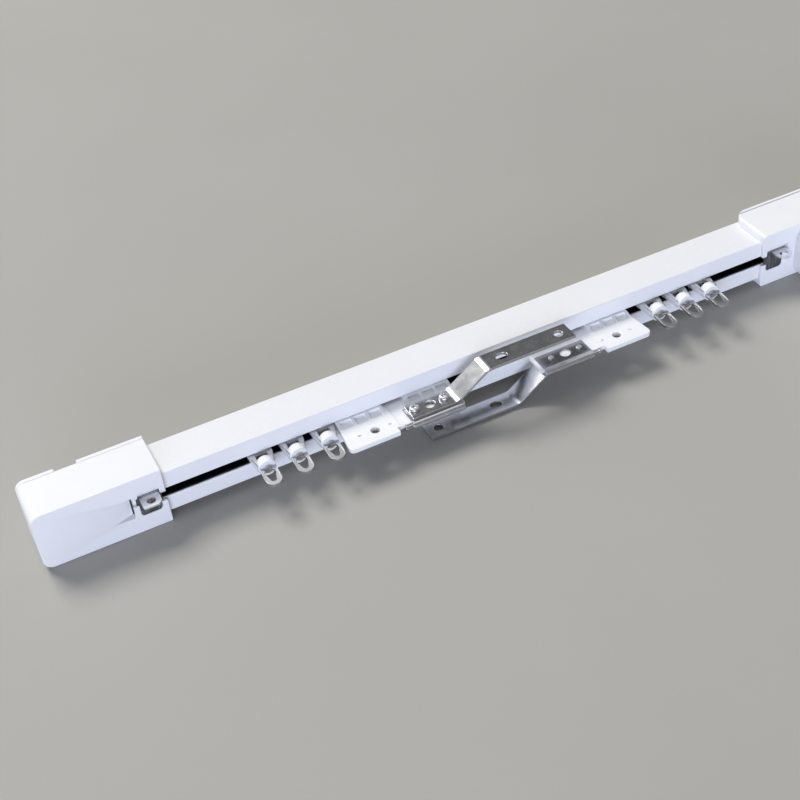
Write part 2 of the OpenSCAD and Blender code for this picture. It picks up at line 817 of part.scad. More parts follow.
module motor_end_cap() {
  color("white") in_frame() difference() {
    union() {
      run_y(cap_y0, motor_y0) motor_outline(0);
      run_y(motor_y0 - over, motor_y0 + cap_spigot) motor_outline(motor_wall + fit_gap);
    }
    bar_y(pulley_x + inlet_x, 0, inlet_r + seat_gap, cap_y0 - over, motor_y0 + cap_spigot + over);
    bar_y(pulley_x + button_x, 0, button_r + fit_gap, cap_y0 - over, motor_y0);
    bar_y(pulley_x + button_x, 0, button_r + button_skirt + fit_gap, cap_y0 + button_wall,
      motor_y0 + cap_spigot + over);
    for (side = [-1, 1]) {
      bar_y(pulley_x + side * cap_boss_x, 0, cap_screw_r + fit_gap, cap_y0 - over,
        motor_y0 + cap_spigot + over);
      bar_y(pulley_x + side * cap_boss_x, 0, cap_screw_head_r + fit_gap, cap_y0 - over,
        motor_y0 - cap_screw_head_h);
    }
  }
}

module motor_cap_screws() {
  head_y = motor_y0 - cap_screw_head_h;
  color("silver") in_frame() for (side = [-1, 1]) {
    bar_y(pulley_x + side * cap_boss_x, 0, cap_screw_r, head_y - over,
      head_y + cap_screw_l + cap_screw_head_h);
    bar_y(pulley_x + side * cap_boss_x, 0, cap_screw_head_r, head_y - cap_screw_head_h, head_y);
  }
}

// Barrel socket, flush with the end cap's face
module power_inlet() {
  wall = 1.2;
  floor_l = 3;
  contact_r = 1;
  contact_in = 5;
  y1 = motor_y0 + cap_spigot;
  color("dimgray") in_frame() {
    difference() {
      bar_y(pulley_x + inlet_x, 0, inlet_r, cap_y0, y1);
      bar_y(pulley_x + inlet_x, 0, inlet_r - wall, cap_y0 - over, y1 - floor_l);
    }
    bar_y(pulley_x + inlet_x, 0, contact_r, cap_y0 + contact_in, y1 - over);
  }
}

// The button's skirt holds it behind the end cap's face
module setting_button() {
  skirt_l = 2;
  color("gainsboro") in_frame() {
    bar_y(pulley_x + button_x, 0, button_r, cap_y0 - button_rise, cap_y0 + button_wall + over);
    bar_y(pulley_x + button_x, 0, button_r + button_skirt, cap_y0 + button_wall + seat_gap,
      cap_y0 + button_wall + skirt_l);
  }
}

// Wheels on an axle across the track, turned as one piece
module wheelset(x) {
  hub_wall = 1;
  hub_r = wheel_axle_r + hub_wall;
  rim = 0.5;
  tread = wheel_r - rim;
  translate([x, wheel_y, 0]) rotate_extrude() {
    rect(0, wheel_axle_r, -wheel_z1, wheel_z1);
    for (side = [0, 1]) mirror([0, side]) {
      rect(0, hub_r, neck_h + run_gap, wheel_z1);
      polygon([[0, wheel_z0], [tread, wheel_z0], [wheel_r, wheel_z0 + rim], [wheel_r, wheel_z1 - rim],
        [tread, wheel_z1], [0, wheel_z1]]);
    }
  }
}

module wheel_bore(x) {
  bar_z(x, wheel_y, wheel_axle_r + pin_gap, -neck_h - over, neck_h + over);
}

// Master carriers: the right one is the left one turned half a turn about the ceiling direction

module at_carrier(side) {
  if (side == "left") translate([left_carrier_x, 0, 0]) children();
  else translate([right_carrier_x, 0, 0]) rotate([0, 180, 0]) children();
}

module carrier_plate_outline() {
  outer_x = -block_x1 - plate_flare;
  rod_x = rod_x0 - rod_head_l - rod_notch;
  rod_y = fold_y + rod_head_r + run_gap;
  polygon([
    [-block_x1, block_top], [-block_x1, block_y0], [outer_x, plate_y + plate_corner_r],
    [outer_x + plate_corner_r, plate_y], [rod_x, plate_y], [rod_x, rod_y], [block_x1, rod_y],
    [block_x1, block_top]
  ]);
  translate([outer_x + plate_corner_r, plate_y + plate_corner_r]) circle(plate_corner_r);
}

// A block's neck in the slot, and the ribs that run out from it onto both faces of the plate
module ribbed_block() {
  block(block_x0, block_x1, neck_y, block_top, -neck_h, neck_h);
  for (i = [0:bays]) {
    x = block_x0 + i * (bay_l + rib_t);
    run_x(x, x + rib_t) both_sides([[block_y0, plate_t / 2], [neck_y, neck_h], [-rail_d, neck_h]]);
  }
}

// Recesses in the thick part of the plate that carry on the bays between the ribs
module wing_bays() {
  for (i = [0:bays - 1], face = [0, 1]) mirror([0, 0, face])
    translate([-block_x1 + rib_t + i * (bay_l + rib_t), 0, 0])
      block(0, bay_l, block_y0, neck_y, plate_t / 2, neck_h);
}

module carrier_body(side) {
  color("white") in_frame() at_carrier(side) difference() {
    union() {
      run_z(-plate_t / 2, plate_t / 2) carrier_plate_outline();
      run_z(-wing_t / 2, wing_t / 2) intersection() {
        carrier_plate_outline();
        rect(-block_x1 - plate_flare, wing_x, plate_y, block_top);
      }
      for (end = [0, 1]) mirror([end, 0, 0]) ribbed_block();
      block(-post_x, post_x, block_top - post_root, belt_y1, -neck_h, neck_h);
    }
    wing_bays();
    for (x = [-1, 1]) wheel_bore(x * (block_x0 + block_l / 2));
    bar_z(plate_hole_x, plate_hole_y, plate_hole_r, -wing_t, wing_t);
    for (x = [-dimple_x, dimple_x], face = [0, 1]) mirror([0, 0, face])
      bar_z(plate_hole_x + x, plate_hole_y, dimple_r, wing_t / 2 - dimple_d, wing_t);
    for (i = [0, 1]) bar_z(screw_x + i * screw_pitch, arm_y, screw_r + pin_gap, -plate_t, plate_t);
  }
}

// U-shaped clamp screwed to the carrier's post, round the belt's run
module belt_clamp(side) {
  jaw_y0 = shelf_y + rail_wall + jaw_gap;
  color("dimgray") in_frame() at_carrier(side) run_x(-clamp_l / 2, clamp_l / 2) {
    rect(jaw_y0, belt_y1, neck_h, belt_r - belt_tooth_h - jaw_gap);
    rect(jaw_y0, belt_y0 - jaw_gap, neck_h, rail_inner - jaw_gap);
    rect(jaw_y0, belt_y1, rail_inner - jaw_gap - jaw_t, rail_inner - jaw_gap);
  }
}

// Steel folded round the plate's front edge, with a round fold for the rod
module arm_sleeve(side) {
  back = plate_y + sleeve_d;
  color("silver") in_frame() at_carrier(side) difference() {
    run_x(sleeve_x0, sleeve_x1) difference() {
      union() {
        rect(fold_y, back, -sleeve_top, sleeve_top);
        translate([fold_y, 0]) circle(fold_r);
      }
      rect(fold_y, back + over, -plate_t / 2, plate_t / 2);
      translate([fold_y, 0]) circle(rod_r + pin_gap);
    }
    for (i = [0, 1])
      bar_z(screw_x + i * screw_pitch, arm_y, screw_r + pin_gap, -sleeve_top - over, sleeve_top + over);
    bar_z(screw_x + screw_pitch / 2, arm_y, foot_hole_r, -sleeve_top - over, sleeve_top + over);
  }
}

// Rod that locks the sleeve, with a round head at its outer end
module sleeve_rod(side) {
  color("lightsteelblue") in_frame() at_carrier(side) translate([0, fold_y, 0]) rotate([0, 90, 0]) {
    translate([0, 0, rod_x0]) cylinder(r = rod_r, h = rod_out + sleeve_l);
    translate([0, 0, rod_x0 - rod_head_l]) cylinder(r = rod_head_r, h = rod_head_l);
  }
}

// Points of a bend's arc about (x, z)
function arc_points(x, z, r, a0, a1, steps) =
  [for (i = [0:steps]) let (a = a0 + (a1 - a0) * i / steps) [x + r * cos(a), z + r * sin(a)]];

// Side view of the Z-bent strip, in (x, z), with its foot's lower face at z = 0
module arm_profile() {
  steps = 10;
  low = [arm_bend_x - bend_run, arm_t + bend_r];
  high = [arm_bend_x + arm_slope + bend_run, arm_rise - bend_r];
  lower_face = concat(
    [[arm_x0, 0]],
    arc_points(low[0], low[1], bend_r + arm_t, -90, -90 + arm_angle, steps),
    arc_points(high[0], high[1], bend_r, 90 + arm_angle, 90, steps),
    [[arm_end_x, arm_rise]]
  );
  upper_face = concat(
    [[arm_end_x, arm_rise + arm_t]],
    arc_points(high[0], high[1], bend_r + arm_t, 90, 90 + arm_angle, steps),
    arc_points(low[0], low[1], bend_r, -90 + arm_angle, -90, steps),
    [[arm_x0, arm_t]]
  );
  polygon(concat(lower_face, upper_face));
}

module arm(side) {
  top = sleeve_top + arm_rise + arm_t + over;
  slot_x = arm_bend_x + arm_slope + arm_slot_x;
  color("silver") in_frame() at_carrier(side) difference() {
    run_y(arm_y - arm_w / 2, arm_y + arm_w / 2) translate([0, sleeve_top]) arm_profile();
    for (i = [0, 1])
      bar_z(screw_x + i * screw_pitch, arm_y, screw_r + pin_gap, 0, sleeve_top + arm_t + over);
    bar_z(screw_x + screw_pitch / 2, arm_y, foot_hole_r, 0, sleeve_top + arm_t + over);
    bar_z(arm_end_x - arm_hole_x, arm_y, arm_hole_r, arm_rise, top);
    run_z(arm_rise, top) {
      rect(slot_x - arm_slot_l / 2, slot_x + arm_slot_l / 2, arm_y - arm_hole_r, arm_y + arm_hole_r);
      for (x = [-1, 1]) translate([slot_x + x * arm_slot_l / 2, arm_y]) circle(arm_hole_r);
    }
  }
}

// Pan-head screws through the arm, the sleeve and the plate
module arm_screws(side) {
  seat = sleeve_top + arm_t;
  round_r = 1.4;
  cross_r = 1.7;
  cross_half = 0.4;
  cross_d = 1;
  color("gainsboro") in_frame() at_carrier(side)
    for (i = [0, 1]) translate([screw_x + i * screw_pitch, arm_y, seat]) difference() {
      rotate_extrude() {
        rect(0, screw_r, -seat - sleeve_top - screw_tip, over);
        rect(0, screw_head_r, 0, screw_head_h - round_r);
        rect(0, screw_head_r - round_r, 0, screw_head_h);
        intersection() {
          translate([screw_head_r - round_r, screw_head_h - round_r]) circle(round_r);
          rect(0, screw_head_r, 0, screw_head_h);
        }
      }
      for (turn = [0, 90]) rotate(turn)
        block(-cross_r, cross_r, -cross_half, cross_half, screw_head_h - cross_d, screw_head_h + over);
    }
}

module carrier_wheels(side, x) {
  color("gainsboro") in_frame() at_carrier(side) wheelset(x * (block_x0 + block_l / 2));
}

// Gliders

module at_glider(i) {
  translate([glider_x[i], wheel_y, 0]) rotate([0, 0, -glider_lean]) translate([0, -wheel_y, 0]) children();
}

// Block on the axle, two webs out of the slot, and a domed socket for the eye's swivel pin
module glider_body(i) {
  window_top = wheel_y - wheel_axle_r - glider_floor;
  web_y = dome_y0 + web_foot_lap;
  seat_y = dome_y0 + neck_l;
  color("white") in_frame() at_glider(i) difference() {
    union() {
      block(-glider_w / 2, glider_w / 2, window_top, block_top, -neck_h, neck_h);
      run_z(-web_h / 2, web_h / 2) difference() {
        polygon([
          [-glider_w / 2, window_top + over], [-glider_w / 2, -rail_d - web_shoulder],
          [-dome_r + dome_lap, web_y], [dome_r - dome_lap, web_y],
          [glider_w / 2, -rail_d - web_shoulder], [glider_w / 2, window_top + over]
        ]);
        rect(-glider_w / 2 + web_t, glider_w / 2 - web_t, dome_y1 - arch_sink, window_top);
      }
      turned_y(0, 0) {
        rect(0, dome_r, dome_y0, dome_y1 - dome_shoulder_r);
        rect(0, dome_r - dome_shoulder_r, dome_y0, dome_y1);
        intersection() {
          translate([dome_r - dome_shoulder_r, dome_y1 - dome_shoulder_r]) circle(dome_shoulder_r);
          rect(0, dome_r, dome_y0, dome_y1);
        }
      }
    }
    wheel_bore(0);
    bar_y(0, 0, swivel_r + pin_gap, dome_y0 - over, seat_y + over);
    bar_y(0, 0, swivel_head_r + run_gap, seat_y, seat_y + swivel_head_l + 2 * run_gap);
  }
}

module glider_wheels(i) {
  color("gainsboro") in_frame() at_glider(i) wheelset(0);
}

// Outline of the loop, drawn in by an inset
module eye_outline(inset) {
  r = eye_w / 2 - inset;
  tip_y = eye_y0 + eye_w / 2;
  rect(-r, r, tip_y, eye_y1 - eye_root - inset);
  translate([0, tip_y]) circle(r);
}

// Stamped loop with a raised rim and a keyhole opening, on a collar and a headed swivel pin
module glider_eye(i) {
  wide_y = eye_y1 - eye_collar - eye_open_r;
  narrow_y = eye_y0 + eye_w / 2;
  seat_y = dome_y0 + neck_l;
  color("silver") in_frame() at_glider(i) difference() {
    union() {
      run_z(-eye_t / 2, eye_t / 2) eye_outline(0);
      run_z(-eye_rim_t / 2, eye_rim_t / 2) difference() {
        eye_outline(0);
        eye_outline(eye_rim);
      }
      bar_y(0, 0, swivel_head_r + eye_collar_over, eye_y1 - eye_collar, eye_y1);
      bar_y(0, 0, swivel_r, eye_y1 - over, seat_y + 2 * run_gap);
      bar_y(0, 0, swivel_head_r, seat_y + run_gap, seat_y + run_gap + swivel_head_l);
    }
    run_z(-eye_w, eye_w) {
      translate([0, wide_y]) circle(eye_open_r);
      translate([0, narrow_y]) circle(eye_tip_r);
      polygon([[-eye_open_r, wide_y], [-eye_tip_r, narrow_y], [eye_tip_r, narrow_y], [eye_open_r, wide_y]]);
    }
  }
}

track_rail();
idler_housing();
idler_cover();
idler_cover_screws();
idler_axle();
idler_end_hook();
drive_housing();
drive_cover();
drive_cover_screws();
drive_bearings();
drive_end_hook();
toothed_belt();
idler_pulley();
drive_pulley();
motor_output_shaft();
motor_collar();
motor_upper_shell();
motor_lower_shell();
motor_gearbox();
motor_can();
control_board();
motor_end_cap();
motor_cap_screws();
power_inlet();
setting_button();
carrier_body("left");  // left_carrier_body
belt_clamp("left");  // left_belt_clamp
arm_sleeve("left");  // left_arm_sleeve
sleeve_rod("left");  // left_sleeve_rod
arm("left");  // left_arm
arm_screws("left");  // left_arm_screws
carrier_wheels("left", -1);  // left_outer_wheels
carrier_wheels("left", 1);  // left_inner_wheels
carrier_body("right");  // right_carrier_body
belt_clamp("right");  // right_belt_clamp
arm_sleeve("right");  // right_arm_sleeve
sleeve_rod("right");  // right_sleeve_rod
arm("right");  // right_arm
arm_screws("right");  // right_arm_screws
carrier_wheels("right", -1);  // right_outer_wheels
carrier_wheels("right", 1);  // right_inner_wheels
glider_body(0);  // glider_1_body
glider_wheels(0);  // glider_1_wheels
glider_eye(0);  // glider_1_eye
glider_body(1);  // glider_2_body
glider_wheels(1);  // glider_2_wheels
glider_eye(1);  // glider_2_eye
glider_body(2);  // glider_3_body
glider_wheels(2);  // glider_3_wheels
glider_eye(2);  // glider_3_eye
glider_body(3);  // glider_4_body
glider_wheels(3);  // glider_4_wheels
glider_eye(3);  // glider_4_eye
glider_body(4);  // glider_5_body
glider_wheels(4);  // glider_5_wheels
glider_eye(4);  // glider_5_eye
glider_body(5);  // glider_6_body
glider_wheels(5);  // glider_6_wheels
glider_eye(5);  // glider_6_eye
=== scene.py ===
import json
import math

import bmesh
import bpy
import numpy as np
from mathutils import Matrix, Vector

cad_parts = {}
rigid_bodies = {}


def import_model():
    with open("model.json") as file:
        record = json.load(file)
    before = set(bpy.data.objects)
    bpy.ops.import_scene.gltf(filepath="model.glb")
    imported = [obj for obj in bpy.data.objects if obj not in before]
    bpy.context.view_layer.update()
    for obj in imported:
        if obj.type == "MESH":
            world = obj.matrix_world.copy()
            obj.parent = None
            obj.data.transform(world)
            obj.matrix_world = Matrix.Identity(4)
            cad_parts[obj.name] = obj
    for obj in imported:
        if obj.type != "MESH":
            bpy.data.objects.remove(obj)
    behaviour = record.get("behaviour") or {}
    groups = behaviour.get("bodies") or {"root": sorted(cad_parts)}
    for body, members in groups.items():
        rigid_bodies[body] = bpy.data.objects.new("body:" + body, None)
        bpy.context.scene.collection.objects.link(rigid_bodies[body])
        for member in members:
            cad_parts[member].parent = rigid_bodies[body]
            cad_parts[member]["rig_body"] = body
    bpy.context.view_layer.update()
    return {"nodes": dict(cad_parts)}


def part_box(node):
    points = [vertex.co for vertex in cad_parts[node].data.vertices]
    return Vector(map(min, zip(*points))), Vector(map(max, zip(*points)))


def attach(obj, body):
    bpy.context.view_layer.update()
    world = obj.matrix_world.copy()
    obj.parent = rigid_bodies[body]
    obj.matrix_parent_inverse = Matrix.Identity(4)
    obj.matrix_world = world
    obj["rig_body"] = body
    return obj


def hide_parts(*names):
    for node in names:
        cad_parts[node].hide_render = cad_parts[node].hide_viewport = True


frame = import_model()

# Viewpoint: the photograph looks down on the track from in front of its idler end, with the picture turned a
# little so that the rail climbs to the right. It is a plain lens with no shift, and nothing is out of focus.
turn, fall, tilt = (math.radians(angle) for angle in (22.95, 40.279, -5.994))
gaze = np.array([math.sin(turn) * math.cos(fall), math.cos(turn) * math.cos(fall), -math.sin(fall)])
level = np.array([math.cos(turn), -math.sin(turn), 0.0])
upright = np.cross(level, gaze)
right_way = math.cos(tilt) * level + math.sin(tilt) * upright
up_way = math.cos(tilt) * upright - math.sin(tilt) * level
stand = Vector((-0.3328, -0.54634, 0.60596))
viewpoint = bpy.data.objects.new("viewpoint", bpy.data.cameras.new("viewpoint"))
viewpoint.data.lens = 61.15
viewpoint.data.sensor_width = 36.0
viewpoint.data.clip_start = 0.01
viewpoint.matrix_world = Matrix.LocRotScale(
    stand, Matrix(np.column_stack([right_way, up_way, -gaze]).tolist()), None)
bpy.context.scene.collection.objects.link(viewpoint)
bpy.context.scene.camera = viewpoint
bpy.context.scene.view_settings.view_transform = "Standard"

# Track rail: an aluminium extrusion with a slot along its front and a clip groove in its back. It is sawn to
# length and coated with white powder, which lies in a soft orange peel. Its inside is painted near black as shade.


class Wire:
    """A shader socket that can stand in a sum: each operator on it adds the Math node for that operator."""

    def __init__(self, socket):
        self.socket = socket

    def node(self, kind, settings, values, output=0):
        """Adds a node of this kind to the same tree. Settings come first, then each socket's value or link."""
        tree = self.socket.id_data
        made = tree.nodes.new("ShaderNode" + kind)
        for name, value in settings.items():
            setattr(made, name, value)
        for name, value in values.items():
            if isinstance(value, Wire):
                tree.links.new(value.socket, made.inputs[name])
            else:
                made.inputs[name].default_value = value
        return Wire(made.outputs[output])

    def math(self, operation, first, second=0.0):
        """Math node of this operation on one value or two, each a number or a wire."""
        return self.node("Math", {"operation": operation}, {0: first, 1: second})

    def __add__(self, other):
        return self.math("ADD", self, other)

    def __sub__(self, other):
        return self.math("SUBTRACT", self, other)

    def __rsub__(self, other):
        return self.math("SUBTRACT", other, self)

    def __mul__(self, other):
        return self.math("MULTIPLY", self, other)

    def __abs__(self):
        return self.math("ABSOLUTE", self)

    __radd__ = __add__
    __rmul__ = __mul__


def new_finish(name, constants):
    """A new material, its shader with these constant sockets, and the piece's own coordinates in metres."""
    material = bpy.data.materials.new(name)
    material.use_nodes = True
    shader = material.node_tree.nodes["Principled BSDF"]
    for socket, value in constants.items():
        shader.inputs[socket].default_value = value
    return material, shader, Wire(material.node_tree.nodes.new("ShaderNodeTexCoord").outputs["Object"])


def mottle(place, size, stretch=(1.0, 1.0, 1.0), detail=2.0):
    """Cloudy value from 0 to 1 whose blots are size metres across, drawn out by stretch along each axis."""
    drawn = place.node("VectorMath", {"operation": "DIVIDE"}, {0: place, 1: stretch})
    return place.node("TexNoise", {}, {"Vector": drawn, "Scale": 1.0 / size, "Detail": detail})


def rise(wire, start, end):
    """Smooth step that goes from 0 at start to 1 at end."""
    return wire.node("MapRange", {"interpolation_type": "SMOOTHSTEP"},
                     {"Value": wire, "From Min": start, "From Max": end})


def blend(factor, plain, other):
    """Colour that goes from plain at factor 0 to other at factor 1. Each is a wire or three linear values."""
    plain, other = (tint if isinstance(tint, Wire) else (*tint, 1.0) for tint in (plain, other))
    return factor.node("Mix", {"data_type": "RGBA"}, {0: factor, 6: plain, 7: other}, 2)


def along(place, axis):
    """The piece's own coordinate on one axis, in metres."""
    return place.node("SeparateXYZ", {}, {0: place}, axis)


def dress(shader, tint, roughness, relief, depth):
    """Feeds a finish with its colour, its roughness and a relief from 0 to 1 that is depth metres deep."""
    bump = relief.node("Bump", {}, {"Height": relief, "Distance": depth, "Strength": 1.0}, "Normal")
    for name, wire in (("Base Color", tint), ("Roughness", roughness), ("Normal", bump)):
        shader.id_data.links.new(wire.socket, shader.inputs[name])


def eased(node, width, material):
    """Copy of a CAD solid with its sharp edges eased: the triangles are joined at their corners, those in one
    plane become one face, and every edge that turns more than 35 degrees gets a round of this width. An edge
    that runs into another at less than 25 degrees in one face is left sharp, because a round can't end there."""
    weld = 2e-6
    flat, sharp_turn, narrow = (math.radians(angle) for angle in (0.6, 35, 25))
    source = frame["nodes"][node]
    corners = np.empty(len(source.data.vertices) * 3, np.float32)
    source.data.vertices.foreach_get("co", corners)
    triangles = np.empty(len(source.data.loops), np.int32)
    source.data.loops.foreach_get("vertex_index", triangles)
    mesh = bpy.data.meshes.new(node + "_eased")
    mesh.from_pydata(corners.reshape(-1, 3), [], triangles.reshape(-1, 3))
    form = bmesh.new()
    form.from_mesh(mesh)
    bmesh.ops.remove_doubles(form, verts=form.verts, dist=weld)
    bmesh.ops.dissolve_limit(form, angle_limit=flat, verts=form.verts, edges=form.edges)
    weight = form.edges.layers.float.new("bevel_weight_edge")
    sharp = {edge for edge in form.edges if edge.calc_face_angle(0.0) > sharp_turn}
    tight = {loop.vert for face in form.faces for loop in face.loops if loop.edge in sharp
             and loop.link_loop_prev.edge in sharp and loop.calc_angle() < narrow}
    for edge in sharp:
        edge[weight] = float(not tight.intersection(edge.verts))
        edge.smooth = bool(edge[weight])
    form.to_mesh(mesh)
    form.free()
    mesh.polygons.foreach_set("use_smooth", np.ones(len(mesh.polygons), bool))
    mesh.materials.append(material)
    piece = bpy.data.objects.new(node + "_eased", mesh)
    bpy.context.scene.collection.objects.link(piece)
    ease = piece.modifiers.new("eased_edges", "BEVEL")
    ease.width = width
    ease.segments = 2
    ease.limit_method = "WEIGHT"
    ease.harden_normals = True
    ease.use_clamp_overlap = False
    ease.loop_slide = False
    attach(piece, source["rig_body"])
    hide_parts(node)


powder_coat, shader, place = new_finish("white_powder_coat", {"Specular IOR Level": 0.2, "Coat Roughness": 0.12})
peel = mottle(place, 0.0011)
die_lines = mottle(place, 0.0005, (400.0, 1.0, 1.0))
clouds = mottle(place, 0.05)
low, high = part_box("track_rail")
under_sides = (high.z - low.z) / 2 - abs(along(place, "Z") - (high.z + low.z) / 2)
under_faces = (high.y - low.y) / 2 - abs(along(place, "Y") - (high.y + low.y) / 2)
hollow_shade_ends = (0.0006, 0.0010)
hollow_shade = rise(under_sides, *hollow_shade_ends) * rise(under_faces, *hollow_shade_ends)
cool_white, full_white, thin_white = (0.845, 0.853, 0.875), (0.880, 0.886, 0.902), (0.82, 0.83, 0.85)
painted_hollow_shade = (0.045, 0.050, 0.062)
tint = blend(clouds, cool_white, full_white)
tint = blend(rise(under_sides, 0.0010, 0.0) * mottle(place, 0.003), tint, thin_white)
# Painted shade: the inside of the rail, behind the slot, is painted near black as the shade that falls there.
tint = blend(hollow_shade, tint, painted_hollow_shade)
dress(shader, tint, 0.27 + 0.10 * peel + 0.08 * die_lines + 0.2 * hollow_shade, 0.7 * peel + 0.3 * die_lines,
      depth=0.000035)
shader.id_data.links.new((0.08 - 0.08 * hollow_shade).socket, shader.inputs["Coat Weight"])
eased("track_rail", 0.00022, powder_coat)

# Toothed belt: one moulded rubber loop with cords in its back, toothed on the inside. It lies on the rail's
# shelves and shows as a black line deep in the slot. Each run is held in the clamp of one carrier.
belt_rubber, shader, place = new_finish("belt_rubber", {"Specular IOR Level": 0.35})
dust = rise(mottle(place, 0.006, (6.0, 1.0, 1.0)), 0.45, 0.75)
cords = mottle(place, 0.0009, (300.0, 1.0, 1.0))
black, dusty = (0.011, 0.011, 0.012), (0.034, 0.034, 0.036)
tint = blend(dust, black, dusty)
dress(shader, tint, 0.55 + 0.25 * dust, 0.5 * cords + 0.5 * mottle(place, 0.0004), depth=0.00006)


def coat(node, material):
    """Gives a CAD solid that keeps its own shape its finish."""
    mesh = frame["nodes"][node].data
    mesh.materials.clear()
    mesh.materials.append(material)


coat("toothed_belt", belt_rubber)

# Pulleys: turned and toothed acetal between two flanges. The idler runs on a steel axle that its housing holds;
# the drive pulley's journals run in two sintered bronze bearings, and the motor's hexagon turns it.
acetal, shader, place = new_finish("turned_acetal", {"Subsurface Weight": 0.12, "Subsurface Scale": 0.002})
rubbed = rise(mottle(place, 0.004), 0.35, 0.7)
natural, rubbed_dull = (0.76, 0.765, 0.75), (0.69, 0.69, 0.67)
tint = blend(rubbed, natural, rubbed_dull)
dress(shader, tint, 0.32 + 0.16 * rubbed, mottle(place, 0.0006), depth=0.00002)
coat("idler_pulley", acetal)
coat("drive_pulley", acetal)

sintered_bronze, shader, place = new_finish("sintered_bronze", {"Metallic": 1.0})
pores = rise(mottle(place, 0.0004, detail=4.0), 0.5, 0.7)
bronze, oily_pore = (0.62, 0.40, 0.18), (0.28, 0.17, 0.08)
tint = blend(pores, bronze, oily_pore)
dress(shader, tint, 0.38 + 0.3 * pores, 1.0 - pores, depth=0.00006)
coat("drive_bearings", sintered_bronze)

# Bright steel: strip and wire that is stamped or cropped, tumbled and nickel plated. It keeps fine lines along
# the rolling direction and a slight cloud in the plating. The idler axle and the motor's shaft are of it too.


def plated_steel(name, stretch, line_width):
    """Nickel-plated steel whose rolling lines are line_width apart and drawn out by stretch along each axis."""
    material, shader, place = new_finish(name, {"Metallic": 1.0})
    lines = mottle(place, line_width, stretch, 3.0)
    clouds = mottle(place, 0.006, detail=4.0)
    specks = rise(mottle(place, 0.0012, detail=4.0), 0.66, 0.74)
    nickel, bright_nickel, speck_grey = (0.56, 0.565, 0.58), (0.69, 0.692, 0.70), (0.40, 0.39, 0.38)
    tint = blend(rise(clouds, 0.3, 0.7), nickel, bright_nickel)
    tint = blend(specks * 0.6, tint, speck_grey)
    return material, shader, place, tint, lines, 0.13 + 0.09 * lines + 0.06 * clouds + 0.12 * specks


axle_steel, shader, _, tint, lines, rough = plated_steel("drawn_axle_steel", (1.0, 60.0, 1.0), 0.0006)
dress(shader, tint, rough, lines, depth=0.000008)
coat("idler_axle", axle_steel)
coat("motor_output_shaft", axle_steel)

# Housings: each end has a moulded white box over the rail's end, with a window and a slot in its front and a cover
# screwed on its ceiling side. The idler's has a ramp recess too. The mould's spark-eroded skin leaves them satin.
moulded_white, shader, place = new_finish("white_moulding", {"Specular IOR Level": 0.2})
skin = mottle(place, 0.0006, detail=3.0)
sink = mottle(place, 0.02)
scuff = rise(mottle(place, 0.0016, (5.0, 1.0, 1.0), 4.0), 0.69, 0.78)
sunk_white, skin_white, scuffed_white = (0.850, 0.858, 0.880), (0.880, 0.887, 0.902), (0.79, 0.80, 0.81)
tint = blend(sink, sunk_white, skin_white)
tint = blend(scuff * 0.5, tint, scuffed_white)
dress(shader, tint, 0.36 + 0.12 * skin + 0.10 * scuff, 0.75 * skin + 0.25 * sink, depth=0.00004)
for node, width in (("idler_housing", 0.0006), ("idler_cover", 0.0005),
                    ("drive_housing", 0.0006), ("drive_cover", 0.0005)):
    eased(node, width, moulded_white)

zinc_plate, shader, place = new_finish("zinc_plate", {"Metallic": 1.0})
spangle = place.node("TexVoronoi", {}, {"Vector": place, "Scale": 900.0}, "Color")
spangle = place.node("SeparateColor", {}, {0: spangle})
haze = mottle(place, 0.0015, detail=4.0)
blue_zinc, pale_zinc = (0.60, 0.615, 0.635), (0.70, 0.71, 0.72)
tint = blend(spangle, blue_zinc, pale_zinc)
dress(shader, tint, 0.24 + 0.10 * spangle + 0.10 * haze, haze, depth=0.00002)
coat("idler_cover_screws", zinc_plate)
coat("drive_cover_screws", zinc_plate)

# End hooks: stamped steel, bent once. The flange is trapped between the rail's face and the housing, and the ear
# stands out through the window, with a hole for the last curtain hook. The flange in the window is painted near
# black as shade, with lighter streaking as painted reflection, and the ear is painted lighter as painted light.
hook_steel, shader, place, tint, lines, rough = plated_steel("stamped_hook_steel", (1.0, 1.0, 1.0), 0.0008)
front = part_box("idler_housing")[0].y
window_shade = rise(along(place, "Y"), front - 0.0002, front + 0.0010)
painted_lit_ear, painted_lit_ear_lines, painted_shade_flange = (0.84, 0.845, 0.86), (0.78, 0.785, 0.80), (0.10, 0.10, 0.105)
# Painted light: the ear is painted lighter than the plated steel, as the light it catches.
tint = blend(window_shade, blend(lines, painted_lit_ear, painted_lit_ear_lines), tint)
painted_reflection_streaks = rise(mottle(place, 0.0016, (1.0, 1.0, 9.0)), 0.45, 0.6)
# Painted shade: the flange inside the window is painted near black as shade, with lighter streaking as painted
# reflection.
tint = blend(window_shade * (0.8 - 0.35 * painted_reflection_streaks), tint, painted_shade_flange)
dress(shader, tint, rough + 0.24 - 0.10 * window_shade, lines, depth=0.000010)
eased("idler_end_hook", 0.00025, hook_steel)
eased("drive_end_hook", 0.00025, hook_steel)

# Master carriers: moulded nylon, ribbed where they run in the slot and flat where the curtain hangs. A grey
# clamp on each one's post grips the belt. Two wheelsets, turned in one piece, roll on the rail's lips.
milky_nylon, shader, place = new_finish(
    "milky_nylon", {"Subsurface Weight": 0.2, "Subsurface Scale": 0.0025, "Subsurface Radius": (1.0, 0.9, 0.8)})
flow = mottle(place, 0.005, (2.5, 1.0, 1.0), 3.0)
skin = mottle(place, 0.0005)
nylon_white, flow_white = (0.850, 0.860, 0.880), (0.885, 0.892, 0.902)
tint = blend(flow, nylon_white, flow_white)
dress(shader, tint, 0.30 + 0.14 * flow + 0.08 * skin, 0.5 * flow + 0.5 * skin, depth=0.00003)
eased("left_carrier_body", 0.00025, milky_nylon)
eased("right_carrier_body", 0.00025, milky_nylon)

